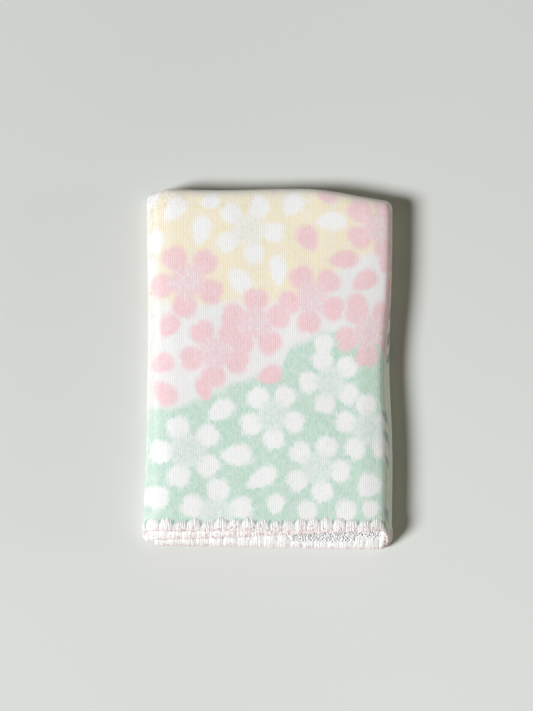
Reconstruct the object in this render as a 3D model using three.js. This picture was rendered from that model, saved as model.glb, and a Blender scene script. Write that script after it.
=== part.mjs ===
// A handkerchief of gauze and loop-pile cloth, folded in thirds across its width and then in half
// along its length. It is one cloth, so it is one closed solid: a flat slab of the cut size, whose
// points are carried through the two folds. Millimetres, +Z up.
//
// The middle third is the outside of the packet. The first third lies folded under it, the last
// third wraps round that one, and the half fold leaves the last third innermost. The rounded half
// fold is at +Y, and the hems of all six layers are at -Y.
import * as THREE from "three";
import { mergeVertices } from "three/addons/utils/BufferGeometryUtils.js";

// The cloth as cut
const CLOTH_WIDTH = 288;
const CLOTH_LENGTH = 280;
const CLOTH_THICKNESS = 1.6;

// The packet as folded
const PACKET_WIDTH = 98.4;
const LAYER_PITCH = 2.1; // from the middle of one layer to the middle of the next
const TUCKED_EDGE = 4.4; // how far the last third's free edge lies inside the packet's left side
const HALF_SLIP = 1.5; // how far the outer layer has slid round the half fold
const TUCK_EASE = 0.031; // share of its length that the first third loses in creases at its free edge
const LAST_EASE = 0.013; // and the same for the last third
const SQUARENESS = 0.16; // how much fuller the half fold is than a round one

// The overlocked hem: a row of shell stitches on each edge that the half fold brings to -Y
const HEM_DEPTH = 5.6;
const HEM_SWELL = 0.2; // how far a shell stands proud of each face of the cloth
const SHELL_REACH = 0.55; // how far a shell reaches past the cut edge
const SHELL_NOTCH = 0.12; // and how far the notch between two shells does
const HEM_PROFILE = [
  // distance in from the edge, share of the cloth's half thickness, share of the swell
  { inset: 0, thickness: 0.65, swell: 0.5 },
  { inset: 1.6, thickness: 1, swell: 1 },
  { inset: 4.0, thickness: 1, swell: 1 },
  { inset: HEM_DEPTH, thickness: 1, swell: 0 },
];

// Rows of points along the cloth, besides those of the hems
const FLAT_ROWS = 3;
const ARC_ROWS = 8;

// The packet's uneven form: each value is the most that it moves a point
const CROWN = 0.9; // the top swells in the middle
const WAIST = 0.5; // and is a little lower across its middle
const RIGHT_SAG = 0.7; // it falls away along its right side
const LEFT_SAG = 1; // and more along its left side
const TUCK_SAG = 1.7; // where the last third's free edge doesn't reach
const LEFT_SPREAD = 1.9; // the left side widens towards the hems
const RIGHT_DRAW = 0.7; // the right side draws in a little by the half fold
const HEM_DRAW = 1.9; // by this much more towards the hems
const WAIST_DRAW = 0.9; // and more again across its middle
const UPPER_SHIFT = 1.1; // the lower half shows past the upper one at the right, here by the half fold
const LOWER_SHIFT = 3.6; // and here by the hems
const RIGHT_CORNER_DROP = 6; // the half fold falls back at its right end
const LEFT_CORNER_DROP = 2.6; // and less at its left end
const EDGE_WOBBLE = 0.25; // waves along the half fold and the sides

const CLOTH_COLOR = 0xefe9e2;

const half = CLOTH_THICKNESS / 2;
const outerLevel = 2.5 * LAYER_PITCH; // from the half fold's mid plane to the outermost layer
const tightRadius = LAYER_PITCH / 2; // the fold between the first and the middle third
const wideRadius = LAYER_PITCH; // the fold that takes the last third round the first
const leftTurn = -PACKET_WIDTH / 2 + tightRadius + half;
const rightTurn = PACKET_WIDTH / 2 - wideRadius - half;
const lastThird = rightTurn - (-PACKET_WIDTH / 2 + TUCKED_EDGE);
const middleThird = rightTurn - leftTurn;
const foldLengths = Math.PI * (tightRadius + wideRadius);
const firstThird = CLOTH_WIDTH - middleThird - lastThird - foldLengths;

const smooth = (from, to, x) => THREE.MathUtils.smoothstep(x, from, to);

// The packet's section across its width. Each stretch gives, at a share of its length, the place
// across (x), the depth below the outermost layer (h) and the printed side's normal (nx, nh).
const run = (startX, towards, length, depth) => (share) => ({
  x: startX + towards * length * share,
  h: depth,
  nx: 0,
  nh: -towards,
});
const turn = (centreX, radius, startAngle) => (share) => {
  const angle = startAngle + Math.PI * share;
  return {
    x: centreX + radius * Math.cos(angle),
    h: radius - radius * Math.sin(angle),
    nx: Math.cos(angle),
    nh: -Math.sin(angle),
  };
};
const turnBack = (place) => (share) => place(1 - share);

// steps is the number of columns of points, and shells the number of hem stitches, on each stretch
const SECTION = [
  { steps: 34, shells: 17, place: run(leftTurn + firstThird, -1, firstThird, LAYER_PITCH) },
  { steps: 4, shells: 1, place: turnBack(turn(leftTurn, tightRadius, Math.PI / 2)) },
  { steps: 36, shells: 18, place: run(leftTurn, 1, middleThird, 0) },
  { steps: 6, shells: 1, place: turnBack(turn(rightTurn, wideRadius, -Math.PI / 2)) },
  { steps: 34, shells: 17, place: run(rightTurn, -1, lastThird, 2 * LAYER_PITCH) },
];

// One column of points for each step: its place in the section, how full the hem's shell is there,
// and how much shorter the cloth lies along it.
const columns = SECTION.flatMap(({ steps, shells, place }, stretch) => {
  const first = stretch === 0 ? 0 : 1;
  return Array.from({ length: steps + 1 - first }, (_, i) => {
    const share = (i + first) / steps;
    const fullness = Math.sin(Math.PI * shells * share) ** 2;
    const ease = { 0: TUCK_EASE * (1 - share), 4: LAST_EASE * share }[stretch] ?? 0;
    return { ...place(share), fullness, ease };
  });
});

// The rows of points along one half of the cloth, from its hem to the half fold. flat is the
// distance from the hem over the whole flat stretch, and arc the share of the quarter turn.
const halfRows = [
  ...HEM_PROFILE.map(({ inset, thickness, swell }) => ({ inset, thickness, swell })),
  ...Array.from({ length: FLAT_ROWS }, (_, i) => ({ flat: (i + 1) / (FLAT_ROWS + 1) })),
  ...Array.from({ length: ARC_ROWS / 2 + 1 }, (_, i) => ({ arc: 1 - i / (ARC_ROWS / 2) })),
];
const rows = [
  ...halfRows.map((row) => ({ ...row, side: -1 })),
  ...halfRows.slice(0, -1).reverse().map((row) => ({ ...row, side: 1 })),
];

// The half fold: carries a point at a distance along the cloth from its middle line round a
// half turn. sheetDepth is the depth of its layer, and depth the point's own.
function foldInHalf(along, sheetDepth, depth, ease) {
  const radius = outerLevel - sheetDepth;
  const distance = outerLevel - depth;
  const quarter = (Math.PI / 2) * radius;
  const beyond = Math.abs(along) - quarter;
  if (beyond > 0) {
    return { y: -beyond * (1 - ease), z: -Math.sign(along) * distance };
  }
  const angle = -along / radius;
  const reach = distance * (1 + SQUARENESS * Math.sin(2 * angle) ** 2);
  return { y: reach * Math.cos(angle), z: reach * Math.sin(angle) };
}

// The packet as it lies: soft, a little uneven, and flat underneath. z runs from 0 to height.
const height = 2 * outerLevel + CLOTH_THICKNESS;
const reachOfFold = outerLevel + half;
const hemReach = CLOTH_LENGTH / 2 - (Math.PI / 2) * tightRadius;
function settle({ x, y, z }) {
  const across = x / (PACKET_WIDTH / 2);
  const down = THREE.MathUtils.clamp(-y / hemReach, 0, 1); // 0 at the half fold and 1 at the hems
  const up = z / height;

  const crown = CROWN * (1 - across ** 4) * Math.sin(Math.PI * (0.1 + 0.8 * down));
  const atWaist = Math.exp(-(((down - 0.48) / 0.16) ** 2));
  const sides = RIGHT_SAG * smooth(0.78, 1, across) + LEFT_SAG * smooth(0.78, 1, -across);
  const tuck = TUCK_SAG * smooth(PACKET_WIDTH / 2 - TUCKED_EDGE - 1, PACKET_WIDTH / 2, -x);
  const lifted = z + up * (crown - WAIST * atWaist - sides) - tuck * smooth(0.4, 0.62, up);

  const leftSpread = LEFT_SPREAD * smooth(0.6, 1, down) * Math.min(across, 0);
  const nearHems = smooth(0.2, 0.55, down);
  const draw = RIGHT_DRAW + HEM_DRAW * nearHems + WAIST_DRAW * atWaist;
  const rightDraw = draw * Math.max(across, 0);
  const shiftHere = UPPER_SHIFT + (LOWER_SHIFT - UPPER_SHIFT) * nearHems;
  const shift = shiftHere * (1 - up) * smooth(0.7, 1, across);
  const wobble = EDGE_WOBBLE * Math.abs(across) ** 3 * Math.sin(9 * down + 1.3 * Math.sign(x));
  const rightDrop = RIGHT_CORNER_DROP * smooth(0.3, 1.3, across);
  const leftDrop = LEFT_CORNER_DROP * smooth(0.8, 1.04, -across);
  const ripple = EDGE_WOBBLE * Math.sin(0.11 * x + 0.6);
  const nearFold = smooth(-45, reachOfFold, y);
  return {
    x: x + leftSpread - rightDraw + shift + wobble,
    y: y - nearFold * (rightDrop + leftDrop - ripple),
    z: Math.max(lifted, 0),
  };
}

// Carries one point of the flat slab to its place: side is 1 on the printed face, -1 on the pile
// and 0 on the rim between them.
function fold(column, row, side, onEdge) {
  const { x, h, nx, nh, fullness, ease } = columns[column];
  const { inset, flat, arc, thickness = 1, swell = 0, side: end } = rows[row];
  const quarter = (Math.PI / 2) * (outerLevel - h);
  const flatLength = CLOTH_LENGTH / 2 - quarter;
  let fromHem = inset;
  if (flat !== undefined) fromHem = HEM_DEPTH + (flatLength - HEM_DEPTH) * flat;
  if (arc !== undefined) fromHem = flatLength + quarter * (1 - arc);
  if (inset === 0 && side === 0) {
    fromHem = -(SHELL_NOTCH + (SHELL_REACH - SHELL_NOTCH) * fullness);
  }
  const slip = HALF_SLIP * (1 - h / (2 * LAYER_PITCH));
  const along = end * (CLOTH_LENGTH / 2 - fromHem) + slip * (arc === undefined ? 1 : 0);

  const offset = side * (half * thickness + HEM_SWELL * swell * (fullness - 0.35));
  const sideways = onEdge && side === 0 ? half : 0; // rounds the two free edges
  const outwards = column === 0 ? 1 : -1;
  const { y, z } = foldInHalf(along, h, h + nh * offset, ease);
  return settle({ x: x + nx * offset + sideways * outwards, y, z: z + outerLevel + half });
}

// The handkerchief: a slab with a point for each column, row and side, folded point by point
function handkerchief() {
  const across = columns.length - 1;
  const along = rows.length - 1;
  const slab = new THREE.BoxGeometry(across, along, 2, across, along, 2);
  slab.deleteAttribute("normal");
  slab.deleteAttribute("uv");
  const points = slab.getAttribute("position");
  for (let i = 0; i < points.count; i++) {
    const column = Math.round(points.getX(i) + across / 2);
    const row = Math.round(points.getY(i) + along / 2);
    const side = Math.round(points.getZ(i));
    const onEdge = column === 0 || column === across;
    const { x, y, z } = fold(column, row, side, onEdge);
    points.setXYZ(i, x, y, z);
  }
  const geometry = mergeVertices(slab, 1e-3);
  geometry.computeBoundingBox();
  const box = geometry.boundingBox;
  const centre = box.getCenter(new THREE.Vector3());
  geometry.translate(-centre.x, -centre.y, -box.min.z); // the origin is the middle of its base
  geometry.computeVertexNormals();
  const cloth = new THREE.MeshStandardMaterial({
    color: CLOTH_COLOR,
    roughness: 0.95,
    metalness: 0,
  });
  const mesh = new THREE.Mesh(geometry, cloth);
  mesh.name = "handkerchief";
  return mesh;
}

const packet = new THREE.Group();
packet.add(handkerchief());

export default packet;
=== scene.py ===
"""A gauze and loop-pile handkerchief, folded in thirds and then in half, lying on a pale table.

The cloth is one thin sheet on the folds of its CAD solid. Its hem, its pile and the threads on it
are real yarn. Lengths are in millimetres up to the moment when a mesh or light is made, in metres.
"""

import math

import bpy
import numpy as np
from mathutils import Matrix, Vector

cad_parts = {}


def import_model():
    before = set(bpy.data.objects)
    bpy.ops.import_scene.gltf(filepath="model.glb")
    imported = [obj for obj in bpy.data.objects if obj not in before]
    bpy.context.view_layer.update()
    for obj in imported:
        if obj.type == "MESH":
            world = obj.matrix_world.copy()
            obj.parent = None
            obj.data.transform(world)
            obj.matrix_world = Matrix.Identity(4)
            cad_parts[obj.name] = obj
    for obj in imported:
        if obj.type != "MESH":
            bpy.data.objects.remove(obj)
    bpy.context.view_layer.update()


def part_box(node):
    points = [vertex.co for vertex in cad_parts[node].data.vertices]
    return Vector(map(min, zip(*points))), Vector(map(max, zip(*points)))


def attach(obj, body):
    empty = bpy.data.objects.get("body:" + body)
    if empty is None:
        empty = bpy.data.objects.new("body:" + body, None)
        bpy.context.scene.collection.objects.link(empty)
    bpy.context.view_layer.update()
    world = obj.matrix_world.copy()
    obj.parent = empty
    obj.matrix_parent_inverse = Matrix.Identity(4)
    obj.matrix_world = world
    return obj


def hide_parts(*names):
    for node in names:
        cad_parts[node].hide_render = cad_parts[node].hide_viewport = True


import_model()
MM = 0.001
RNG = np.random.default_rng(24)

# The cloth as cut, and the packet as folded: the same sizes as the solid's
CLOTH_WIDTH = 288.0
CLOTH_LENGTH = 280.0
SOLID_THICKNESS = 1.6
PACKET_WIDTH = 98.4
LAYER_PITCH = 2.1
TUCKED_EDGE = 4.4
HALF_SLIP = 1.5
TUCK_EASE = 0.031
LAST_EASE = 0.013
SQUARENESS = 0.16
CROWN = 0.9
WAIST = 0.5
RIGHT_SAG = 0.7
LEFT_SAG = 1.0
TUCK_SAG = 1.7
LEFT_SPREAD = 1.9
RIGHT_DRAW = 0.7
HEM_DRAW = 1.9
WAIST_DRAW = 0.9
UPPER_SHIFT = 1.1
LOWER_SHIFT = 3.6
RIGHT_CORNER_DROP = 6.0
LEFT_CORNER_DROP = 2.6
EDGE_WOBBLE = 0.25
WAIST_AT = 0.48
WAIST_SPAN = 0.16
SAG_FROM = 0.78

# The hem: shell stitches, each a fan of yarn that wraps the edge
HEM_DEPTH = 5.4
SHELL_PITCH = 5.35
HEM_PITCH = CLOTH_WIDTH / round(CLOTH_WIDTH / SHELL_PITCH)
YARN_RADIUS = 0.38
FRONT_WRAPS = 11
SIDE_WRAPS = 7

# The cloth as seen: fuller than the solid, so that its layers all but touch
SHEET_THICKNESS = 1.86
MIDDLE_STEP = 1.0
SIDE_STEP = 2.6
LENGTH_STEP = 1.3
FOLD_STEP = 0.6
RUMPLE = 0.22
HEM_DROOP = 3.2

half = SOLID_THICKNESS / 2
outer_level = 2.5 * LAYER_PITCH
tight_radius = LAYER_PITCH / 2
wide_radius = LAYER_PITCH
left_turn = -PACKET_WIDTH / 2 + tight_radius + half
right_turn = PACKET_WIDTH / 2 - wide_radius - half
last_third = right_turn + PACKET_WIDTH / 2 - TUCKED_EDGE
middle_third = right_turn - left_turn
first_third = CLOTH_WIDTH - middle_third - last_third - math.pi * (tight_radius + wide_radius)
packet_height = 2 * outer_level + SOLID_THICKNESS
fold_reach = outer_level + half
hem_reach = CLOTH_LENGTH / 2 - math.pi / 2 * tight_radius

# Where each stretch of the section ends, measured across the flat cloth from its first edge
TURN_1 = first_third
MIDDLE = TURN_1 + math.pi * tight_radius
TURN_2 = MIDDLE + middle_third
LAST = TURN_2 + math.pi * wide_radius
MIDDLE_CENTRE = MIDDLE + middle_third / 2


def smooth(low, high, x):
    share = np.clip((x - low) / (high - low), 0, 1)
    return share * share * (3 - 2 * share)


def section(across):
    """The folded section: the place x, the depth h and the printed side's normal, across the cloth."""
    first = across < TURN_1
    turn_1 = (across >= TURN_1) & (across < MIDDLE)
    turn_2 = (across >= TURN_2) & (across < LAST)
    last = across >= LAST
    angle_1 = math.pi * 1.5 - (across - TURN_1) / tight_radius
    angle_2 = math.pi * 0.5 - (across - TURN_2) / wide_radius
    x = left_turn + across - MIDDLE
    x = np.where(first, left_turn + TURN_1 - across, x)
    x = np.where(turn_1, left_turn + tight_radius * np.cos(angle_1), x)
    x = np.where(turn_2, right_turn + wide_radius * np.cos(angle_2), x)
    x = np.where(last, right_turn + LAST - across, x)
    h = np.where(first, LAYER_PITCH, 0.0)
    h = np.where(turn_1, tight_radius * (1 - np.sin(angle_1)), h)
    h = np.where(turn_2, wide_radius * (1 - np.sin(angle_2)), h)
    h = np.where(last, 2 * LAYER_PITCH, h)
    nx = np.where(turn_1, np.cos(angle_1), np.where(turn_2, np.cos(angle_2), 0.0))
    nh = np.where(turn_1, -np.sin(angle_1), np.where(turn_2, -np.sin(angle_2), -1.0))
    nh = np.where(first | last, 1.0, nh)
    return x, h, nx, nh


def rumple(across, along):
    """Soft unevenness of the cloth, in the flat: long low swells and shorter ripples."""
    swell = np.sin(0.115 * across + 0.043 * along + 0.7) * np.sin(0.071 * along - 0.031 * across + 0.4)
    ripple = np.sin(0.27 * across - 0.12 * along) * np.sin(0.19 * along + 0.05 * across + 1.1)
    return RUMPLE * (0.7 * swell + 0.3 * ripple)


def settle(x, y, z):
    """The packet as it lies, as the solid's source has it: soft, uneven, and flat underneath.
    Here the hems that reach past the layers below them droop as well."""
    across = x / (PACKET_WIDTH / 2)
    down = np.clip(-y / hem_reach, 0, 1)
    up = z / packet_height
    crown = CROWN * (1 - across ** 4) * np.sin(math.pi * (0.1 + 0.8 * down))
    at_waist = np.exp(-(((down - WAIST_AT) / WAIST_SPAN) ** 2))
    sides = RIGHT_SAG * smooth(SAG_FROM, 1, across) + LEFT_SAG * smooth(SAG_FROM, 1, -across)
    tuck = TUCK_SAG * smooth(PACKET_WIDTH / 2 - TUCKED_EDGE - 1, PACKET_WIDTH / 2, -x)
    droop = HEM_DROOP * smooth(hem_reach - HEM_DEPTH, hem_reach + 1.2, -y)
    lifted = z + up * (crown - WAIST * at_waist - sides) - tuck * smooth(0.4, 0.62, up) - droop
    left_spread = LEFT_SPREAD * smooth(0.6, 1, down) * np.minimum(across, 0)
    near_hems = smooth(0.2, 0.55, down)
    draw = RIGHT_DRAW + HEM_DRAW * near_hems + WAIST_DRAW * at_waist
    right_draw = draw * np.maximum(across, 0)
    shift_here = UPPER_SHIFT + (LOWER_SHIFT - UPPER_SHIFT) * near_hems
    shift = shift_here * (1 - up) * smooth(0.7, 1, across)
    wobble = EDGE_WOBBLE * np.abs(across) ** 3 * np.sin(9 * down + 1.3 * np.sign(x))
    right_drop = RIGHT_CORNER_DROP * smooth(0.3, 1.3, across)
    left_drop = LEFT_CORNER_DROP * smooth(0.8, 1.04, -across)
    ripple = EDGE_WOBBLE * np.sin(0.11 * x + 0.6)
    near_fold = smooth(-45, fold_reach, y)
    moved_x = x + left_spread - right_draw + shift + wobble
    moved_y = y - near_fold * (right_drop + left_drop - ripple)
    return moved_x, moved_y, np.maximum(lifted, 0)


def folded(across, along, lift):
    """Carries points of the flat cloth through both folds. across runs from the first edge, along
    from the half fold to the hems, below zero on the upper half, and lift towards the printed side.
    """
    across, along, lift = np.broadcast_arrays(across, along, lift)
    x, h, nx, nh = section(across)
    depth = h + nh * lift
    radius = outer_level - h
    distance = outer_level - depth
    quarter = math.pi / 2 * radius
    flat_length = CLOTH_LENGTH / 2 - quarter
    beyond = np.abs(along) - quarter
    share = np.clip(beyond / flat_length, 0, 1)
    slip = HALF_SLIP * (1 - h / (2 * LAYER_PITCH))
    ease = TUCK_EASE * np.clip(1 - across / TURN_1, 0, 1)
    ease = ease + LAST_EASE * np.clip((across - LAST) / (CLOTH_WIDTH - LAST), 0, 1)
    angle = -along / radius
    on_arc = beyond < 0
    reach = distance * (1 + SQUARENESS * np.sin(2 * angle) ** 2)
    y = np.where(on_arc, reach * np.cos(angle), -(beyond + np.sign(along) * slip * share) * (1 - ease))
    z = np.where(on_arc, reach * np.sin(angle), -np.sign(along) * distance)
    top_side = smooth(0, 1, z / outer_level)
    z = z + outer_level + half + top_side * rumple(across, along) * (1 - np.abs(x / 50) ** 6)
    return np.stack(settle(x + nx * lift, y, z), axis=-1)


# The CAD solid is centred on its box, and the cloth is centred in the same way
def packet_offset():
    low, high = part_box("handkerchief")
    across = np.linspace(0, CLOTH_WIDTH, 400)
    along = np.linspace(-CLOTH_LENGTH / 2, CLOTH_LENGTH / 2, 401)
    points = [folded(across[:, None], along[None, :], side * half).reshape(-1, 3) for side in (-1, 1)]
    points = np.concatenate(points)
    own = (points.min(axis=0) + points.max(axis=0)) / 2
    return np.array([(low.x + high.x) / 2 / MM - own[0], (low.y + high.y) / 2 / MM - own[1], 0])


OFFSET = packet_offset()


def placed(across, along, lift):
    """Points of the flat cloth in their place in the row frame, in metres."""
    return (folded(across, along, lift) + OFFSET) * MM


def mesh_object(name, points, faces, materials, kinds=None, flat=None, marks=None):
    """A smooth-shaded mesh. kinds gives each face's material, flat each point's place on the flat
    cloth, and marks its shade and its blush, each from 0 to 1."""
    mesh = bpy.data.meshes.new(name)
    sizes = np.array([len(face) for face in faces])
    mixed = len(set(sizes)) > 1
    loops = np.concatenate([np.asarray(face) for face in faces]) if mixed else np.ravel(faces)
    starts = np.concatenate([[0], np.cumsum(sizes)[:-1]])
    mesh.vertices.add(len(points))
    mesh.vertices.foreach_set("co", np.ravel(points).astype(np.float32))
    mesh.loops.add(len(loops))
    mesh.loops.foreach_set("vertex_index", loops.astype(np.int32))
    mesh.polygons.add(len(sizes))
    mesh.polygons.foreach_set("loop_start", starts.astype(np.int32))
    for material in materials:
        mesh.materials.append(material)
    if kinds is not None:
        mesh.polygons.foreach_set("material_index", np.asarray(kinds, np.int32))
    mesh.update(calc_edges=True)
    mesh.validate()
    mesh.polygons.foreach_set("use_smooth", np.ones(len(sizes), bool))
    if flat is not None:
        layer = mesh.uv_layers.new(name="flat")
        layer.data.foreach_set("uv", np.ravel(np.asarray(flat)[loops]).astype(np.float32))
    if marks is not None:
        for column, mark in enumerate(("shade", "blush")):
            attribute = mesh.attributes.new(mark, "FLOAT", "POINT")
            attribute.data.foreach_set("value", np.ascontiguousarray(marks[:, column], np.float32))
    obj = bpy.data.objects.new(name, mesh)
    bpy.context.scene.collection.objects.link(obj)
    return obj


# Node trees
class Nodes:
    """Short ways to add nodes to a tree. A socket or a number can be given for any input."""

    def __init__(self, tree):
        self.tree = tree

    def add(self, kind, inputs=(), output=0, **settings):
        node = self.tree.nodes.new(kind)
        for key, value in settings.items():
            setattr(node, key, value)
        pairs = inputs.items() if isinstance(inputs, dict) else enumerate(inputs)
        for key, value in pairs:
            self.feed(value, node.inputs[key])
        return node.outputs[output]

    def feed(self, value, socket):
        if isinstance(value, bpy.types.NodeSocket):
            self.tree.links.new(value, socket)
        else:
            socket.default_value = value

    def math(self, operation, *values, clamp=False):
        return self.add("ShaderNodeMath", values, operation=operation, use_clamp=clamp)

    def vector(self, operation, *values):
        return self.add("ShaderNodeVectorMath", values, operation=operation)

    def split(self, vector):
        """The first two parts of a vector."""
        parts = self.tree.nodes.new("ShaderNodeSeparateXYZ")
        self.tree.links.new(vector, parts.inputs[0])
        return parts.outputs[0], parts.outputs[1]

    def distance(self, one, other):
        squares = self.math("MULTIPLY", one, one), self.math("MULTIPLY", other, other)
        return self.math("SQRT", self.math("ADD", *squares))

    def ramp(self, value, low, high, to_low=0.0, to_high=1.0):
        """A smooth step: to_low at low, to_high at high."""
        return self.add(
            "ShaderNodeMapRange",
            {0: value, 1: low, 2: high, 3: to_low, 4: to_high},
            interpolation_type="SMOOTHSTEP",
            clamp=False,
        )

    def mix(self, share, one, other, blend="MIX"):
        return self.add(
            "ShaderNodeMix", {0: share, 6: one, 7: other}, 2, data_type="RGBA", blend_type=blend
        )

    def shaded(self, colour, tone):
        """A colour made darker or lighter by a tone."""
        return self.mix(1.0, colour, self.add("ShaderNodeCombineXYZ", (tone, tone, tone)), "MULTIPLY")

    def noise(self, vector, scale, detail=2.0, roughness=0.5):
        values = {"Vector": vector, "Scale": scale, "Detail": detail, "Roughness": roughness}
        return self.add("ShaderNodeTexNoise", values)

    def bump(self, shader, height, strength, distance):
        """Fine relief: distance is its depth in metres."""
        relief = {"Strength": strength, "Distance": distance, "Height": height}
        self.tree.links.new(self.add("ShaderNodeBump", relief), shader.inputs["Normal"])


def srgb(red, green, blue):
    """A colour given as it shows on a screen, from 0 to 255, as a linear colour."""
    shares = [value / 255 for value in (red, green, blue)]
    return (*(s / 12.92 if s <= 0.04045 else ((s + 0.055) / 1.055) ** 2.4 for s in shares), 1.0)


def node_group(name, inputs, outputs):
    tree = bpy.data.node_groups.new(name, "ShaderNodeTree")
    for socket, kind in inputs:
        tree.interface.new_socket(socket, in_out="INPUT", socket_type=kind)
    for socket in outputs:
        tree.interface.new_socket(socket, in_out="OUTPUT", socket_type="NodeSocketFloat")
    start = tree.nodes.new("NodeGroupInput")
    end = tree.nodes.new("NodeGroupOutput")
    return tree, start.outputs, end.inputs


# The print: flowers and loose petals, placed one by one on a piece of cloth that repeats
REPEAT = (122.0, 158.0)
EDGE_FADE = 0.36
MOTIF_INPUTS = [
    ("Flat", "NodeSocketVector"),
    ("Centre", "NodeSocketVector"),
    ("Turn", "NodeSocketFloat"),
    ("Length", "NodeSocketFloat"),
    ("Width", "NodeSocketFloat"),
]


def before(*outputs):
    """Inputs for what the motifs already placed add up to, one for each output."""
    return [(f"{output} before", "NodeSocketFloat") for output in outputs]


def motif_place(n, inputs):
    """The place in a motif's own axes, taking the nearest of its repeats."""
    offset = n.vector("SUBTRACT", inputs["Flat"], inputs["Centre"])
    low = (-REPEAT[0] / 2, -REPEAT[1] / 2, -1)
    nearest = n.vector("WRAP", offset, tuple(-value for value in low), low)
    back = n.math("MULTIPLY", inputs["Turn"], -1)
    turned = n.add(
        "ShaderNodeVectorRotate", {"Vector": nearest, "Angle": back}, rotation_type="Z_AXIS"
    )
    return n.split(turned)


def egg(n, along, beside, half_length, half_width, taper):
    """1 inside an egg shape whose narrow end is at the low end of along, fading to 0 outside it."""
    share = n.math("DIVIDE", along, half_length)
    width = n.math("MULTIPLY", half_width, n.math("MULTIPLY_ADD", share, taper, 1.0))
    side = n.math("DIVIDE", beside, width)
    reach = n.distance(share, side)
    return n.ramp(reach, 1 - EDGE_FADE, 1 + EDGE_FADE, 1.0, 0.0)


def petal_group():
    tree, inputs, outputs = node_group("petal", MOTIF_INPUTS + before("Petals"), ["Petals"])
    n = Nodes(tree)
    x, y = motif_place(n, inputs)
    half_length = n.math("MULTIPLY", inputs["Length"], 0.5)
    half_width = n.math("MULTIPLY", inputs["Width"], 0.5)
    petals = egg(n, x, y, half_length, half_width, 0.3)
    tree.links.new(n.math("MAXIMUM", petals, inputs["Petals before"]), outputs["Petals"])
    return tree


def blossom_group():
    """Five petals round a centre: Length is the flower's radius, and Width a petal's."""
    made = ("Petals", "Middle", "Stamens")
    tree, inputs, outputs = node_group("blossom", MOTIF_INPUTS + before(*made), made)
    n = Nodes(tree)

    def keep(value, output):
        tree.links.new(n.math("MAXIMUM", value, inputs[f"{output} before"]), outputs[output])

    x, y = motif_place(n, inputs)
    radius = n.distance(x, y)
    turn = n.math("ARCTAN2", y, x)
    fifth = n.math("WRAP", turn, math.pi / 5, -math.pi / 5)
    along = n.math("MULTIPLY", radius, n.math("COSINE", fifth))
    beside = n.math("MULTIPLY", radius, n.math("SINE", fifth))
    length = inputs["Length"]
    from_middle = n.math("SUBTRACT", along, n.math("MULTIPLY", length, 0.64))
    half_length = n.math("MULTIPLY", length, 0.38)
    half_width = n.math("MULTIPLY", inputs["Width"], 0.5)
    petals = egg(n, from_middle, beside, half_length, half_width, 0.22)
    to_tip = n.math("SUBTRACT", along, n.math("MULTIPLY", length, 1.05))
    notch = n.ramp(n.distance(to_tip, beside), 0.3, 1.7)
    share = n.math("DIVIDE", radius, length)
    disc = n.ramp(share, 0.3, 0.62, 1.0, 0.0)
    keep(n.math("MAXIMUM", n.math("MULTIPLY", petals, notch), disc), "Petals")
    keep(n.ramp(share, 0.2, 0.62, 1.0, 0.0), "Middle")
    spoke = n.math("WRAP", turn, math.pi / 15, -math.pi / 15)
    off_spoke = n.math("ABSOLUTE", n.math("MULTIPLY", radius, n.math("SINE", spoke)))
    thread = n.ramp(off_spoke, 0.2, 0.5, 1.0, 0.0)
    inner = n.ramp(share, 0.08, 0.16)
    outer = n.ramp(share, 0.4, 0.56, 1.0, 0.0)
    tip = n.math("ABSOLUTE", n.math("SUBTRACT", share, 0.5))
    anther = n.math("MULTIPLY", n.ramp(tip, 0.02, 0.06, 1.0, 0.0), n.ramp(off_spoke, 0.35, 0.75, 1.0, 0.0))
    filament = n.math("MULTIPLY", thread, n.math("MULTIPLY", inner, outer))
    keep(n.math("MAXIMUM", filament, anther), "Stamens")
    return tree


# Each row: colour family, across from the middle of the face, down from the half fold, turn in degrees,
# then a flower's radius and its petals' width, or a loose petal's length and width
BLOSSOM_CHART = [
    ("white", -7.7, 18.6, -7, 14.1, 7.8),
    ("white", -32.4, 108.3, -34, 14.8, 8.8),
    ("white", 20.5, 115.3, -6, 14.0, 8.8),
    ("white", 1.8, 94.0, 57, 13.6, 8.8),
    ("white", 41.9, 99.1, 20, 14.0, 8.8),
    ("white", -20.1, 133.9, 16, 14.4, 8.8),
    ("white", 26.4, 80.0, 39, 13.4, 8.8),
    ("pink", -32.5, 39.3, -25, 15.0, 9.8),
    ("pink", 44.5, 14.3, 0, 14.0, 9.6),
    ("pink", 17.9, 46.5, -25, 14.0, 9.8),
    ("pink", -5.0, 56.6, 90, 14.0, 9.8),
    ("pink", 42.1, 60.0, 53, 14.0, 9.8),
    ("pink", -21.5, 68.3, 50, 14.0, 9.8),
]
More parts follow.
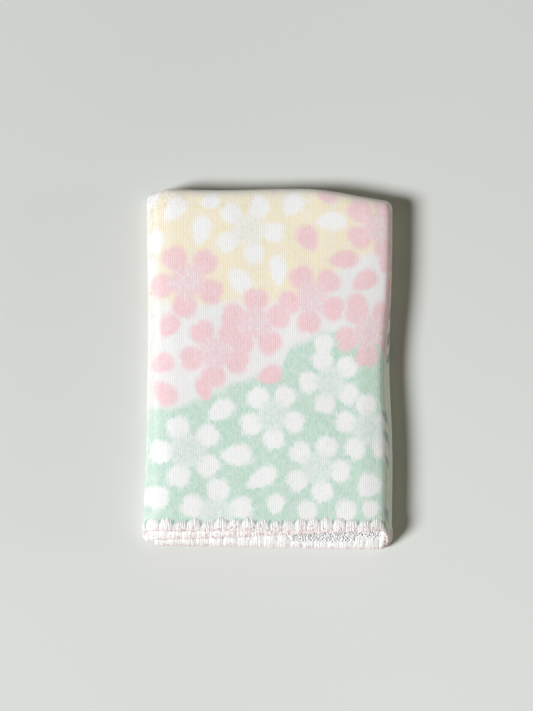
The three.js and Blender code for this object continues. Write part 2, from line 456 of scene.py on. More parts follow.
PETAL_CHART = [
    ("white", -37.5, 10.7, 45, 10.5, 7.3),
    ("white", -23.3, 7.3, 10, 7.4, 5.4),
    ("white", -26.9, 18.9, 80, 12.1, 7.2),
    ("white", 9.7, 8.8, 60, 9.8, 8.0),
    ("white", 25.6, 14.6, 12, 12.4, 7.4),
    ("white", 3.9, 35.2, 92, 12.4, 6.6),
    ("white", -11.5, 39.1, -48, 11.2, 8.6),
    ("white", -45.7, 23.1, 100, 9.6, 8.0),
    ("white", -48.4, 34.5, 90, 12.0, 6.0),
    ("white", -49.0, 5.0, 30, 9.0, 7.0),
    ("white", -12.9, 109.9, 0, 12.6, 8.8),
    ("white", -2.8, 119.1, 32, 13.2, 7.4),
    ("white", -44.2, 126.8, -20, 10.8, 9.0),
    ("white", 42.0, 122.5, 46, 10.6, 9.4),
    ("white", -19.1, 91.6, 38, 11.6, 7.8),
    ("white", 3.0, 129.7, 80, 8.4, 7.4),
    ("white", 16.5, 133.1, 105, 10.0, 8.0),
    ("white", 32.4, 133.1, 75, 10.2, 8.0),
    ("white", 42.9, 132.1, 80, 7.6, 7.0),
    ("white", 23.2, 65.6, 80, 9.6, 7.8),
    ("white", 56.0, 110.0, 70, 11.0, 7.8),
    ("pink", 23.7, 4.9, 0, 8.0, 5.4),
    ("pink", 16.0, 22.3, 115, 11.0, 8.2),
    ("pink", 30.4, 30.0, 12, 12.4, 7.4),
    ("pink", 38.9, 38.7, 40, 11.6, 8.0),
    ("pink", 47.3, 30.8, 84, 8.4, 4.8),
    ("pink", 36.3, 49.7, 100, 11.2, 7.8),
    ("pink", 50.2, 42.6, 88, 19.6, 5.6),
    ("pink", -40.0, 57.5, 65, 10.2, 7.8),
    ("pink", -42.5, 72.9, 30, 9.4, 7.8),
    ("pink", -41.5, 84.8, -50, 11.4, 8.2),
    ("pink", 0.5, 77.5, 20, 10.2, 7.4),
    ("pink", -25.8, 83.0, 104, 10.2, 6.6),
    ("pink", 56.5, 66.0, 40, 12.0, 9.0),
    ("pink", 57.5, 8.0, 60, 12.0, 9.0),
    ("pink", -55.0, 44.0, 20, 12.0, 9.0),
    ("pink", -57.0, 70.0, 90, 12.0, 9.0),
    ("teal", 50.0, 92.8, 85, 4.6, 4.0),
    ("teal", 50.6, 100.6, 90, 5.0, 4.4),
    ("teal", 50.8, 110.4, 90, 4.6, 4.4),
    ("teal", 56.0, 121.0, 20, 12.0, 8.0),
    ("teal", 50.8, 132.0, 70, 5.4, 5.0),
    ("teal", -56.0, 96.0, 40, 11.0, 8.0),
    ("teal", -56.0, 116.0, 100, 11.0, 8.0),
]

# The colours of the cloth's yarns
YELLOW = srgb(243, 231, 200)
MINT = srgb(190, 220, 202)
WHITE = srgb(244, 243, 241)
GROUND_WHITE = srgb(236, 235, 233)
# the left side's white margin, greyed and warmed as painted shade
LEFT_WHITE_AND_SHADE = srgb(228, 221, 207)
RIGHT_WHITE = srgb(240, 243, 234)
PINK = srgb(241, 199, 203)
TEAL = srgb(150, 176, 180)
FLOWER_GREY = srgb(188, 204, 200)
FLOWER_PALE = srgb(240, 226, 230)
FLOWER_LILAC = srgb(214, 198, 207)
# the colour between the hem's shells: painted shade
NOTCH_PAINTED_SHADE = srgb(150, 164, 154)
BLUSH = srgb(240, 206, 204)
PILE_WHITE = srgb(240, 239, 236)
PILE_FLECK = srgb(158, 172, 174)
CREAM_LIGHT = srgb(253, 251, 246)
CREAM_DARK = srgb(238, 233, 227)
ACCENT_LIGHT = srgb(245, 219, 218)
ACCENT_DARK = srgb(206, 140, 150)
LOOP_LIGHT = srgb(250, 250, 249)
LOOP_DARK = srgb(186, 193, 194)

# The weave, and how light scatters in it: depths in millimetres, shares from 0 to 1
RIB_PITCH = 0.88
WEFT_PITCH = 0.62
FACE_SCATTER = 0.6
FACE_SCATTER_DEPTH = 0.9
YARN_SCATTER = 0.35
YARN_SCATTER_DEPTH = 0.6
SCATTER_TINT = (1.0, 0.95, 0.9)
# how far the brushed fibres are whitened, as painted light
NAP_PAINTED_WHITENING = 0.45
NOTCH_STRENGTH = 0.6
FACE_RELIEF = 0.12
PILE_RELIEF = 0.4
YARN_RELIEF = 0.1


def flat_place(n):
    """The place on the flat cloth, in millimetres: across from the face's middle, down from the fold."""
    return n.add("ShaderNodeUVMap", uv_map="flat")


def print_masks(n, flat):
    """How much of each motif colour shows at a place, and of the flowers' middles and stamens."""
    blossom = blossom_group()
    petal = petal_group()
    masks = dict.fromkeys(("white", "pink", "teal", "middle", "stamens"), 0.0)

    def instance(group, row, **made):
        family, across, down, turn, length, width = row
        node = n.tree.nodes.new("ShaderNodeGroup")
        node.node_tree = group
        n.tree.links.new(flat, node.inputs["Flat"])
        node.inputs["Centre"].default_value = (across, down, 0)
        node.inputs["Turn"].default_value = -math.radians(turn)
        node.inputs["Length"].default_value = length
        node.inputs["Width"].default_value = width
        for output, mask in {"Petals": family, **made}.items():
            n.feed(masks[mask], node.inputs[f"{output} before"])
            masks[mask] = node.outputs[output]

    for row in BLOSSOM_CHART:
        instance(blossom, row, Middle="middle", Stamens="stamens")
    for row in PETAL_CHART:
        instance(petal, row)
    return masks


def ground_colour(n, flat):
    """Bands of ground colour from the half fold to the hem: yellow, white and mint, with soft edges. The
    left side runs into a white margin, greyed and warmed as painted shade where the key light falls
    hardest.
    """
    across, down = n.split(flat)
    drift = n.math("MULTIPLY", n.math("SUBTRACT", n.noise(flat, 0.12, 1.0), 0.5), 6.0)
    depth = n.math("ADD", n.math("ABSOLUTE", down), drift)
    yellow_end = n.ramp(across, 8.0, 48.0, 48.0, 24.0)
    mint_start = n.ramp(across, -45.0, 4.0, 91.0, 78.0)
    mint_start = n.math("SUBTRACT", mint_start, n.ramp(across, 2.0, 12.0, 0.0, 14.0))
    mint_start = n.math("SUBTRACT", mint_start, n.ramp(across, 12.0, 30.0, 0.0, 4.0))
    in_yellow = n.ramp(n.math("SUBTRACT", depth, yellow_end), -3.5, 3.5, 1.0, 0.0)
    in_mint = n.ramp(n.math("SUBTRACT", depth, mint_start), -2.5, 2.5)
    on_last = n.ramp(across, 47.5, 50.5)
    # the left side: a white margin of the print, greyed and warmed as painted shade where the key light
    # falls hardest
    left_side_ramp = n.ramp(across, -50.5, -39.0, 0.65, 0.0)
    left_white_and_shade = n.math("MULTIPLY", left_side_ramp, n.ramp(depth, 84.0, 100.0, 1.0, 0.25))
    colour = n.mix(in_yellow, GROUND_WHITE, YELLOW)
    colour = n.mix(in_mint, colour, MINT)
    colour = n.mix(on_last, colour, RIGHT_WHITE)
    return n.mix(left_white_and_shade, colour, LEFT_WHITE_AND_SHADE)


def rib_wave(n, across):
    """The gauze's ribs: 1 on each rib, 0 in the furrow between two."""
    phase = n.math("MULTIPLY", across, 2 * math.pi / RIB_PITCH)
    return n.math("MULTIPLY_ADD", n.math("COSINE", phase), 0.5, 0.5)


def new_material(name):
    material = bpy.data.materials.new(name)
    material.use_nodes = True
    tree = material.node_tree
    shader = tree.nodes["Principled BSDF"]
    shader.inputs["Specular IOR Level"].default_value = 0.15
    shader.inputs["Sheen Weight"].default_value = 0.25
    shader.inputs["Sheen Roughness"].default_value = 0.5
    return material, Nodes(tree), shader


def scatter(shader, share, depth):
    shader.inputs["Subsurface Weight"].default_value = share
    shader.inputs["Subsurface Radius"].default_value = SCATTER_TINT
    shader.inputs["Subsurface Scale"].default_value = depth * MM


def flower_colours(n, masks, speck, ground):
    """The white and the pink flowers, in whose middles petal and ground yarns mix."""
    middle = n.math("MULTIPLY", masks["middle"], n.math("MULTIPLY_ADD", speck, 0.4, 0.25))
    grey = n.math("MULTIPLY", masks["middle"], n.math("MULTIPLY", speck, 0.4))
    stamens = n.math("MULTIPLY", masks["stamens"], n.math("MULTIPLY_ADD", speck, 0.4, 0.05))
    white = n.mix(grey, n.mix(middle, WHITE, ground), FLOWER_GREY)
    white = n.mix(stamens, white, ground)
    pink = n.mix(grey, n.mix(middle, PINK, FLOWER_PALE), FLOWER_LILAC)
    pink = n.mix(n.math("MULTIPLY", stamens, 0.7), pink, WHITE)
    return white, pink


def notches(n, across, down):
    """1 between two of the hem's shells, where the stitches pull the cloth in. There the colour is darkened
    as painted shade.
    """
    run = n.math("ADD", across, MIDDLE_CENTRE)
    between = n.math("COSINE", n.math("MULTIPLY", run, 2 * math.pi / HEM_PITCH))
    inset = n.math("SUBTRACT", CLOTH_LENGTH / 2, n.math("ABSOLUTE", down))
    deep = n.ramp(inset, HEM_DEPTH - 2.2, HEM_DEPTH - 0.7, 1.0, 0.0)
    return n.math("MULTIPLY", n.ramp(between, 0.6, 0.98), deep)


def face_material(name, painted_whitening=0.0):
    """The printed gauze face, or its brushed fibres, which are whitened as painted light."""
    material, n, shader = new_material(name)
    flat = flat_place(n)
    across, down = n.split(flat)

    # each motif's edge steps from rib to rib, and its yarns stray a little
    rib = n.math("MULTIPLY", n.math("ROUND", n.math("DIVIDE", across, RIB_PITCH)), RIB_PITCH)
    stepped = n.math("MULTIPLY_ADD", n.math("SUBTRACT", rib, across), 0.5, across)
    stray = n.add("ShaderNodeCombineXYZ", (stepped, n.math("MULTIPLY", down, 0.35), 0.0))
    wander = n.math("MULTIPLY", n.math("SUBTRACT", n.noise(stray, 1.4, 2.0), 0.5), 2.2)
    place = n.add("ShaderNodeCombineXYZ", (stepped, n.math("ADD", down, wander), 0.0))

    # the lower half's right side has no pink flower where it shows
    masks = print_masks(n, place)
    lower_side = n.math("MULTIPLY", n.ramp(across, 44.0, 48.0), n.ramp(down, 0.0, -4.0))
    masks["pink"] = n.math("SUBTRACT", masks["pink"], n.math("MULTIPLY", lower_side, 2.0))
    colour = ground_colour(n, place)

    # thread is each rib's own yarn, uneven along it, and nap the brushed fibres that lie over the ribs
    yarn = n.add("ShaderNodeCombineXYZ", (n.math("MULTIPLY", rib, 2.3), n.math("MULTIPLY", down, 0.4), 0.0))
    thread = n.math("SUBTRACT", n.noise(yarn, 1.1, 3.0, 0.6), 0.5)
    nap = n.math("SUBTRACT", n.noise(flat, 1.5, 4.0, 0.72), 0.5)
    loose = n.math("ADD", n.math("MULTIPLY", thread, 1.1), n.math("MULTIPLY", nap, 0.9))
    speck = n.ramp(loose, -0.12, 0.2)
    # painted highlights: bright white specks where fibres would catch the light
    painted_glints = n.ramp(n.noise(flat, 2.4, 2.0, 0.5), 0.6, 0.68)

    white, pink = flower_colours(n, masks, speck, colour)
    for family, motif in (("white", white), ("pink", pink), ("teal", TEAL)):
        edge = n.math("ADD", masks[family], loose)
        colour = n.mix(n.ramp(edge, -0.1, 1.1), colour, motif)

    # white yarn shows between the ribs, and here and there along them; the bright white specks are painted
    # highlights
    wave = rib_wave(n, across)
    pale = n.math("MULTIPLY_ADD", loose, 0.55, n.math("MULTIPLY_ADD", wave, -0.16, 0.24), clamp=True)
    pale = n.math("MAXIMUM", pale, n.math("MULTIPLY", painted_glints, 0.8))
    # the cloth is whitened near the half fold: painted light on the fold's rounded top
    pale = n.math("MAXIMUM", pale, n.ramp(n.math("ABSOLUTE", down), 2.0, 8.0, 0.8, 0.0))
    colour = n.mix(pale, colour, WHITE)
    # tone: the yarns' own unevenness, and the furrows between the ribs darker as painted shade
    tone = n.math("MULTIPLY_ADD", thread, 0.24, n.math("MULTIPLY_ADD", wave, 0.09, 0.97))
    tone = n.math("MULTIPLY_ADD", nap, 0.1, tone)
    # the left side is darkened as painted shade, where the key light falls hardest
    tone = n.math("MULTIPLY", tone, n.ramp(across, -50.0, -40.0, 0.84, 1.0))
    colour = n.shaded(colour, tone)
    # painted shade in the hollows between the hem's shells
    at_notch = notches(n, across, down)
    colour = n.mix(n.math("MULTIPLY", at_notch, NOTCH_STRENGTH), colour, NOTCH_PAINTED_SHADE)
    # painted light: the brushed fibres are whitened
    colour = n.mix(painted_whitening, colour, WHITE)
    n.tree.links.new(colour, shader.inputs["Base Color"])
    shader.inputs["Roughness"].default_value = 0.92
    scatter(shader, FACE_SCATTER, FACE_SCATTER_DEPTH)

    weft = n.math("COSINE", n.math("MULTIPLY", down, 2 * math.pi / WEFT_PITCH))
    weave = n.math("MULTIPLY_ADD", wave, 0.6, n.math("MULTIPLY", weft, 0.1))
    height = n.math("MULTIPLY_ADD", nap, 0.9, n.math("MULTIPLY_ADD", thread, 0.7, weave))
    n.bump(shader, height, 0.4, FACE_RELIEF * MM)
    return material


def pile_material():
    """The reverse: loop pile in greyish white, with flecks of the print's darker yarn, darkened a little
    between the loops as painted shade.
    """
    material, n, shader = new_material("loop_pile")
    flat = flat_place(n)
    loops = n.add("ShaderNodeTexVoronoi", {"Vector": flat, "Scale": 1.15}, 0)
    fleck = n.ramp(n.noise(flat, 0.9, 3.0, 0.6), 0.6, 0.7, 0.0, 0.35)
    colour = n.mix(fleck, PILE_WHITE, PILE_FLECK)
    # painted shade between the loops
    colour = n.shaded(colour, n.ramp(loops, 0.1, 0.8, 1.0, 0.9))
    n.tree.links.new(colour, shader.inputs["Base Color"])
    shader.inputs["Roughness"].default_value = 0.95
    n.bump(shader, n.math("SUBTRACT", 1.0, loops), 0.8, PILE_RELIEF * MM)
    return material


def yarn_material(name, light, dark, blushing=False):
    """Spun yarn: its tone runs from dark to light with each thread's own shade, and turns pink
    where it blushes."""
    material, n, shader = new_material(name)
    shade = n.add("ShaderNodeAttribute", output=2, attribute_name="shade")
    where = n.add("ShaderNodeTexCoord", output=3)
    fibre = n.noise(where, 2600.0, 3.0, 0.6)
    share = n.math("MULTIPLY_ADD", fibre, 0.3, n.math("MULTIPLY", shade, 0.8), clamp=True)
    colour = n.mix(share, dark, light)
    if blushing:
        blush = n.add("ShaderNodeAttribute", output=2, attribute_name="blush")
        colour = n.mix(n.math("MULTIPLY", blush, 0.75), colour, BLUSH)
    n.tree.links.new(colour, shader.inputs["Base Color"])
    shader.inputs["Roughness"].default_value = 0.8
    scatter(shader, YARN_SCATTER, YARN_SCATTER_DEPTH)
    n.bump(shader, fibre, 0.3, YARN_RELIEF * MM)
    return material


# The sheet
def stations(start, end, step):
    count = max(1, round((end - start) / step))
    return np.linspace(start, end, count, endpoint=False)


def cloth_grid():
    across = np.concatenate([
        stations(0.0, TURN_1, SIDE_STEP),
        stations(TURN_1, MIDDLE, FOLD_STEP),
        stations(MIDDLE, TURN_2, MIDDLE_STEP),
        stations(TURN_2, LAST, FOLD_STEP),
        stations(LAST, CLOTH_WIDTH, SIDE_STEP),
        [CLOTH_WIDTH],
    ])
    half_fold = 10.0
    edge = CLOTH_LENGTH / 2 - 0.3
    upper = np.concatenate([stations(-edge, -half_fold, LENGTH_STEP), stations(-half_fold, 0, FOLD_STEP)])
    along = np.concatenate([upper, [0.0], -upper[::-1]])
    return across, along


def make_cloth():
    """The closed thin shell: printed face, pile and the rim between them."""
    across, along = cloth_grid()
    columns, rows = len(across), len(along)
    grid_across, grid_along = np.meshgrid(across, along, indexing="ij")
    sides = [placed(grid_across, grid_along, side * SHEET_THICKNESS / 2).reshape(-1, 3) for side in (1, -1)]
    index = np.arange(columns * rows).reshape(columns, rows)
    corners = [index[:-1, :-1], index[1:, :-1], index[1:, 1:], index[:-1, 1:]]
    quads = np.stack(corners, axis=-1).reshape(-1, 4)
    back = quads[:, ::-1] + columns * rows
    ring = np.concatenate([index[:-1, 0], index[-1, :-1], index[:0:-1, -1], index[0, :0:-1]])
    after = np.roll(ring, -1)
    rim = np.stack([after, ring, ring + columns * rows, after + columns * rows], axis=-1)
    faces = np.concatenate([quads, back, rim])
    kinds = np.concatenate([np.zeros(len(quads)), np.ones(len(back)), np.ones(len(rim))])
    flat = np.stack([grid_across.ravel() - MIDDLE_CENTRE, -grid_along.ravel()], axis=-1)
    materials = [face_material("printed_gauze"), pile_material()]
    points = np.concatenate(sides)
    return mesh_object("cloth", points, faces, materials, kinds, np.concatenate([flat, flat]))


# Yarn
def tubes(paths, radius, sides, closed):
    """Round yarns along paths, an array of yarn by step by (across, along, lift), in the flat.
    Returns the points, the faces and the faces that close the ends."""
    count, steps, _ = paths.shape
    thickness = np.broadcast_to(np.asarray(radius, float), (count, steps)) * MM
    real = placed(paths[..., 0], paths[..., 1], paths[..., 2])
    real[..., 2] = np.maximum(real[..., 2], thickness)
    if closed:
        ahead = np.roll(real, -1, axis=1) - np.roll(real, 1, axis=1)
    else:
        ahead = np.gradient(real, axis=1)
    ahead /= np.linalg.norm(ahead, axis=-1, keepdims=True) + 1e-12
    middle = real.mean(axis=1, keepdims=True)
    outward = real - middle
    outward -= (outward * ahead).sum(axis=-1, keepdims=True) * ahead
    outward /= np.linalg.norm(outward, axis=-1, keepdims=True) + 1e-12
    beside = np.cross(ahead, outward)
    angle = 2 * math.pi * np.arange(sides) / sides
    ring = np.cos(angle)[:, None] * outward[..., None, :] + np.sin(angle)[:, None] * beside[..., None, :]
    points = real[..., None, :] + ring * thickness[..., None, None]
    index = np.arange(steps * sides).reshape(steps, sides)
    following = np.roll(index, -1, axis=0) if closed else index[1:]
    current = index if closed else index[:-1]
    corners = [current, np.roll(current, -1, axis=1), np.roll(following, -1, axis=1), following]
    quads = np.stack(corners, axis=-1).reshape(-1, 4)
    faces = (quads[None] + (np.arange(count) * steps * sides)[:, None, None]).reshape(-1, 4)
    caps = []
    if not closed:
        first = np.arange(sides)[::-1]
        last = np.arange(sides) + (steps - 1) * sides
        for yarn in range(count):
            caps.append(first + yarn * steps * sides)
            caps.append(last + yarn * steps * sides)
    return points.reshape(-1, 3), faces, caps


def hem_place(edge, run, inset, lift):
    """A place on one of the four hems: run along the edge, inset from it, and lift off the cloth."""
    if edge in ("upper_hem", "lower_hem"):
        side = -1 if edge == "upper_hem" else 1
        return np.stack(np.broadcast_arrays(run, side * (CLOTH_LENGTH / 2 - inset), lift), axis=-1)
    across = inset if edge == "first_edge" else CLOTH_WIDTH - inset
    return np.stack(np.broadcast_arrays(across, run, lift), axis=-1)


# Where the last third's hem shows its reverse, its pile runs down over the shells
PILE_RUN = (LAST + 9.8, LAST + 37.2)
PILE_INSET = 2.6
PILE_DEPTH = 12.4
LOOP_PITCH = 0.78
LOOP_RADIUS = 0.2
DARK_YARNS = 14
DARK_YARN_RADIUS = 0.14


def shell_shapes(low, high):
    """One edge's shells: where each starts, and how it differs from the next."""
    count = round((high - low) / SHELL_PITCH)
    pitch = (high - low) / count
    return {
        "pitch": pitch,
        "start": low + pitch * np.arange(count),
        "size": 1 + 0.07 * RNG.standard_normal(count),
        "lean": 0.3 * RNG.standard_normal(count),
        "push": 0.2 * RNG.standard_normal(count),
    }


def on_shell(edge, shells, which, share, turn, proud, stray=0.0):
    """A place on a shell: share across it, and turn round the cloth's edge, 0 at the very edge and
    above 0 over the printed face. Each shell is deepest and fullest in its middle."""
    size = shells["size"][which]
    push = shells["push"][which]
    fullness = np.sqrt(np.sin(math.pi * share))
    inner_share = (1 - np.cos(turn)) / 2
    fan = (share - 0.5) * (1 - 0.14 * inner_share ** 2)
    run = shells["start"][which] + shells["pitch"] * (0.5 + fan)
    run = run + shells["lean"][which] * (inner_share - 0.3)
    reach = size * (HEM_DEPTH - 0.3 - 1.9 * (1 - fullness)) + push + stray
    if edge == "upper_hem":
        under_pile = (np.sin(turn) < 0) & (run > PILE_RUN[0]) & (run < PILE_RUN[1])
        reach = np.where(under_pile, np.minimum(reach, PILE_INSET), reach)
    out = 0.25 + 0.4 * fullness - 0.3 * push
    inset = -out + (reach + out) * inner_share - proud * np.cos(turn)
    swell = size * (0.76 + 0.28 * fullness)
    height = np.abs(np.sin(turn)) ** (1 - 0.25 * np.cos(turn)) * (1.02 + 0.12 * np.cos(turn))
    lift = np.sign(np.sin(turn)) * swell * height + proud * np.sin(turn)
    return hem_place(edge, run, inset, lift)


def wrap_yarns(edge, shells, wraps, steps):
    """The shells' own yarn, side by side round the edge, with each yarn's marks at each step."""
    count = len(shells["start"])
    which = np.repeat(np.arange(count), wraps)[:, None]
    share = np.tile((np.arange(wraps) + 0.5) / wraps, count)[:, None]
    share = np.clip(share + 0.012 * RNG.standard_normal(share.shape), 0.02, 0.98)
    turn = 2 * math.pi * np.arange(steps)[None, :] / steps
    proud = 0.03 * RNG.standard_normal(share.shape)
    stray = 0.3 * RNG.standard_normal(share.shape)
    paths = on_shell(edge, shells, which, share, turn, proud, stray)
    shade = np.clip(0.85 + 0.1 * RNG.standard_normal(share.shape), 0.3, 1)
    tint = np.clip(0.6 + 0.4 * RNG.standard_normal(share.shape), 0, 1)
    blush = tint * np.clip(np.cos(turn) * 1.6 - 0.6, 0, 1)
    return paths, np.stack(np.broadcast_arrays(shade, blush), axis=-1)


def accent_yarns(edge, shells, each):
    """The second yarn: short pink stitches that catch the shells near the very edge."""
    count = len(shells["start"]) * each
    which = RNG.integers(0, len(shells["start"]), count)[:, None]
    step = np.linspace(-0.5, 0.5, 5)[None, :]
    bow = 1 - (2 * step) ** 2
    share = RNG.uniform(0.08, 0.92, (count, 1)) + RNG.uniform(0.05, 0.2, (count, 1)) * step
    over = np.where(RNG.random((count, 1)) < 0.5, -1, 1)
    turn = over * RNG.uniform(0.3, 1.35, (count, 1)) + RNG.normal(0, 0.3, (count, 1)) * step
    paths = on_shell(edge, shells, which, np.clip(share, 0.03, 0.97), turn, 0.12 + 0.14 * bow)
    dark = RNG.random((count, 1)) < 0.1
    shade = np.where(dark, 0.0, RNG.uniform(0.5, 1.0, (count, 1)))
    return paths, np.stack(np.broadcast_arrays(shade, np.zeros((count, 5))), axis=-1)


def join(parts):
    """Joins (points, faces, caps, marks, material) of several sets of yarn into one mesh's lists."""
    points, faces, kinds, marks = [], [], [], []
    start = 0
    for part_points, part_faces, caps, part_marks, kind in parts:
        points.append(part_points)
        marks.append(part_marks)
        faces += [row + start for row in part_faces]
        faces += [row + start for row in caps]
        kinds += [kind] * (len(part_faces) + len(caps))
        start += len(part_points)
    return np.concatenate(points), faces, kinds, np.concatenate(marks)


def yarn_part(paths, marks, radius, sides, closed, kind):
    """One set of yarns for join. marks holds each yarn's shade and blush at each step."""
    points, faces, caps = tubes(paths, radius, sides, closed)
    return points, faces, caps, np.repeat(marks.reshape(-1, 2), sides, axis=0), kind


def make_hem(edge, materials):
    """One edge's stitches: shells of cream yarn, and the pink yarn that catches them."""
    across_run = edge in ("upper_hem", "lower_hem")
    low, high = (0.0, CLOTH_WIDTH) if across_run else (-CLOTH_LENGTH / 2 + 6, CLOTH_LENGTH / 2 - 6)
    wraps, steps, sides = (FRONT_WRAPS, 14, 5) if across_run else (SIDE_WRAPS, 10, 4)
    shells = shell_shapes(low, high)
    paths, marks = wrap_yarns(edge, shells, wraps, steps)
    parts = [yarn_part(paths, marks, YARN_RADIUS * (FRONT_WRAPS / wraps), sides, True, 0)]
    paths, marks = accent_yarns(edge, shells, 10 if across_run else 4)
    thickness = RNG.uniform(0.15, 0.24, (len(paths), 1))
    parts.append(yarn_part(paths, marks, thickness, 5, False, 1))
    points, faces, kinds, marks = join(parts)
    return mesh_object(edge, points, faces, materials, kinds, None, marks)


def pile_part(edge_side, run, inset, width, turn, shade, thickness=LOOP_RADIUS):
    """Loops of pile that stand up from the reverse at the given places."""
    height = RNG.uniform(0.35, 0.6, run.size)
    step = np.linspace(0, math.pi, 6)
    across = run[:, None] + width[:, None] * np.cos(step) * np.cos(turn)[:, None]
    along = inset[:, None] + width[:, None] * np.cos(step) * np.sin(turn)[:, None]
    lift = -SHEET_THICKNESS / 2 + 0.1 - height[:, None] * np.sin(step)
    paths = np.stack([across, edge_side * (CLOTH_LENGTH / 2 - along), lift], axis=-1)
    marks = np.stack(np.broadcast_arrays(shade[:, None], np.zeros(across.shape)), axis=-1)
    return yarn_part(paths, marks, thickness, 4, False, 0)


def make_pile(materials):
    """Loops of pile on the reverse, by the hems, where the layers' ends lie open."""
    parts = []
    runs = np.arange(LAST + 1, CLOTH_WIDTH - 4, LOOP_PITCH)
    insets = np.arange(PILE_INSET, PILE_DEPTH, LOOP_PITCH)
    for side in (-1, 1):
        run, inset = np.meshgrid(runs, insets)
        run = run.ravel() + 0.25 * RNG.standard_normal(run.size)
        inset = inset.ravel() + 0.2 * RNG.standard_normal(inset.size)
        on_shells = (run < PILE_RUN[0]) | (run > PILE_RUN[1]) | (side > 0)
        kept = (inset > HEM_DEPTH - 0.8) | ~on_shells
        run, inset = run[kept], inset[kept]
        turn = RNG.random(run.size) * math.pi
        shade = np.where(RNG.random(run.size) < 0.05, 0.4, RNG.uniform(0.85, 1.0, run.size))
        parts.append(pile_part(side, run, inset, RNG.uniform(0.3, 0.46, run.size), turn, shade))
    # a few darker yarns lie along the cloth, between the loops
    run = RNG.uniform(*PILE_RUN, DARK_YARNS)
    inset = RNG.uniform(PILE_INSET + 0.6, 8.0, DARK_YARNS)
    turn = math.pi / 2 + RNG.normal(0, 0.15, DARK_YARNS)
    length = RNG.uniform(0.6, 1.2, DARK_YARNS)
    shade = np.full(DARK_YARNS, 0.05)
    parts.append(pile_part(-1, run, inset, length, turn, shade, DARK_YARN_RADIUS))
    points, faces, kinds, marks = join(parts)
    return mesh_object("pile_loops", points, faces, materials, kinds, None, marks)


# The brushed fibres: how many there are, then where they stand, across and along the flat cloth
NAP_FROM = -CLOTH_LENGTH / 2 + HEM_DEPTH
NAP_TO = 9.0
NAP_AREAS = [
    (5000, (TURN_1 - 1, LAST + 1), (NAP_FROM, NAP_TO)),
    (4500, (TURN_1 - 1, LAST + 1), (-10.0, 6.0)),
    (1500, (TURN_1 - 1, MIDDLE + 1), (NAP_FROM, NAP_TO)),
    (3000, (TURN_2 - 1, LAST + 1), (NAP_FROM, NAP_TO)),
]


def make_nap(material):
    """The brushed fibres that stand off the printed face: thin tapered blades, in the print's colours.
    They are closer together on the folds, where the bent cloth opens its nap."""
    across = np.concatenate([RNG.uniform(*span, count) for count, span, _ in NAP_AREAS])
    along = np.concatenate([RNG.uniform(*span, count) for count, _, span in NAP_AREAS])
    count = len(across)
    towards = RNG.normal(math.pi / 2, 0.9, count)
    length = RNG.uniform(0.5, 1.3, count)
    rise = length * RNG.uniform(0.1, 0.55, count)
    root = 0.035
    lift = SHEET_THICKNESS / 2 - 0.03
    tip = placed(
        across + length * np.cos(towards),
        np.clip(along + length * np.sin(towards), -CLOTH_LENGTH / 2, None),
        lift + rise,
    )
    corners = [tip]
    for k in range(3):
        angle = 2 * math.pi * k / 3
        beside = root * math.cos(angle)
        corners.append(placed(
            across - beside * np.sin(towards),
            along + beside * np.cos(towards),
            lift + 0.3 * root * math.sin(angle),
        ))
    points = np.stack(corners, axis=1)
    one, two, three = (points[:, k] - points[:, 0] for k in (1, 2, 3))
    inside_out = np.einsum("ij,ij->i", np.cross(one, two), three) < 0
    outward = np.array([[0, 1, 2], [0, 2, 3], [0, 3, 1], [1, 3, 2]])
    faces = np.where(inside_out[:, None, None], outward[:, ::-1], outward)
    faces = (faces + 4 * np.arange(count)[:, None, None]).reshape(-1, 3)
    flat = np.repeat(np.stack([across - MIDDLE_CENTRE, -along], axis=-1), 4, axis=0)
    return mesh_object("nap", points.reshape(-1, 3), faces, [material], None, flat)


# Stage
FLOOR_COLOUR = srgb(214, 215, 210)
FLOOR_REACH = 6.0
CAMERA_HEIGHT = 0.684
CAMERA_LENS = 85.0
CAMERA_AT = (-0.0008, 0.0054)
KEY_AZIMUTH = 196
KEY_ELEVATION = 39.5
KEY_DISTANCE = 6.0
KEY_SIZE = 2.1
KEY_POWER = 515.0
KEY_COLOUR = (0.933, 0.956, 1.0)
AMBIENT_COLOUR = (1.0, 0.9, 0.7, 1.0)
AMBIENT_STRENGTH = 0.125
FILL_AZIMUTH = 0.0
FILL_ELEVATION = 7.0
FILL_DISTANCE = 3.0
FILL_SIZE = 0.7
FILL_POWER = 15.5
FILL_COLOUR = (0.95, 1.0, 0.84)


def make_floor():
    """The pale table, a little darker towards its far side and lighter to the right: painted light and
    shade for the way the lamps' light falls across it.
    """
    material, n, shader = new_material("table")
    shader.inputs["Sheen Weight"].default_value = 0.0
    where = n.add("ShaderNodeTexCoord", output=3)
    across, along = n.split(where)
    grain = n.noise(where, 900.0, 3.0, 0.6)
    soft = n.noise(where, 3.0, 2.0, 0.5)
    tone = n.math("ADD", n.math("MULTIPLY_ADD", grain, 0.02, 0.98), n.math("MULTIPLY", soft, 0.02))
    # painted light and shade: darker towards the far side, lighter to the right
    tone = n.math("MULTIPLY", tone, n.ramp(along, -0.15, 0.17, 1.03, 0.93))
    tone = n.math("MULTIPLY", tone, n.ramp(across, -0.06, 0.1, 1.0, 1.05))
    n.tree.links.new(n.shaded(FLOOR_COLOUR, tone), shader.inputs["Base Color"])
    shader.inputs["Roughness"].default_value = 0.85
    reach = FLOOR_REACH
    points = [(-reach, -reach, 0), (reach, -reach, 0), (reach, reach, 0), (-reach, reach, 0)]
    floor = mesh_object("table", np.array(points), np.array([[0, 1, 2, 3]]), [material])


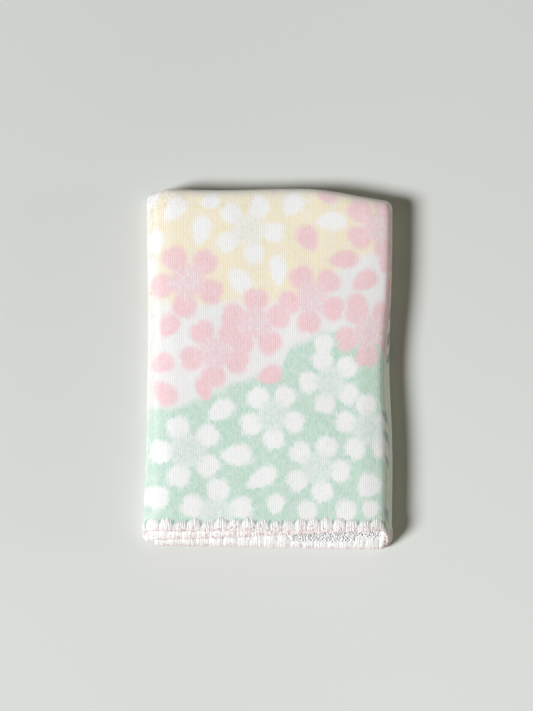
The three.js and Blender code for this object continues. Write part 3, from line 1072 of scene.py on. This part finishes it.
def area_light(name, toward, distance, size, energy, colour):
    """An area light in the direction toward, aimed at the packet."""
    light = bpy.data.lights.new(name, "AREA")
    light.shape = "DISK"
    light.size = size
    light.energy = energy
    light.color = colour
    obj = bpy.data.objects.new(name, light)
    obj.location = Vector(toward) * distance
    obj.rotation_euler = Vector(toward).to_track_quat("Z", "Y").to_euler()
    bpy.context.scene.collection.objects.link(obj)


def direction(azimuth, elevation):
    """A direction from two angles in degrees: azimuth from +X towards +Y, and elevation."""
    azimuth, elevation = math.radians(azimuth), math.radians(elevation)
    level = math.cos(elevation)
    return math.cos(azimuth) * level, math.sin(azimuth) * level, math.sin(elevation)


def make_lights():
    """A key light from the left, a low fill on the right side, and the room's own light."""
    key = direction(KEY_AZIMUTH, KEY_ELEVATION)
    area_light("key", key, KEY_DISTANCE, KEY_SIZE, KEY_POWER, KEY_COLOUR)
    fill = direction(FILL_AZIMUTH, FILL_ELEVATION)
    area_light("fill", fill, FILL_DISTANCE, FILL_SIZE, FILL_POWER, FILL_COLOUR)
    world = bpy.data.worlds.new("studio")
    world.use_nodes = True
    background = world.node_tree.nodes["Background"]
    background.inputs["Color"].default_value = AMBIENT_COLOUR
    background.inputs["Strength"].default_value = AMBIENT_STRENGTH
    bpy.context.scene.world = world
    bpy.context.scene.view_settings.view_transform = "Standard"


def make_camera():
    camera = bpy.data.cameras.new("camera")
    camera.lens = CAMERA_LENS
    camera.sensor_width = 36.0
    obj = bpy.data.objects.new("camera", camera)
    obj.location = (*CAMERA_AT, CAMERA_HEIGHT)
    bpy.context.scene.collection.objects.link(obj)
    bpy.context.scene.camera = obj


make_camera()
cloth = make_cloth()
cream = yarn_material("cream_yarn", CREAM_LIGHT, CREAM_DARK, blushing=True)
pink = yarn_material("pink_yarn", ACCENT_LIGHT, ACCENT_DARK)
pile_yarn = yarn_material("pile_yarn", LOOP_LIGHT, LOOP_DARK)
hems = [make_hem(edge, [cream, pink]) for edge in ("upper_hem", "lower_hem", "first_edge", "last_edge")]
pile = make_pile([pile_yarn])
nap = make_nap(face_material("brushed_fibre", painted_whitening=NAP_PAINTED_WHITENING))
make_floor()
make_lights()

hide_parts("handkerchief")
for piece in (cloth, pile, nap, *hems):
    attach(piece, "root")
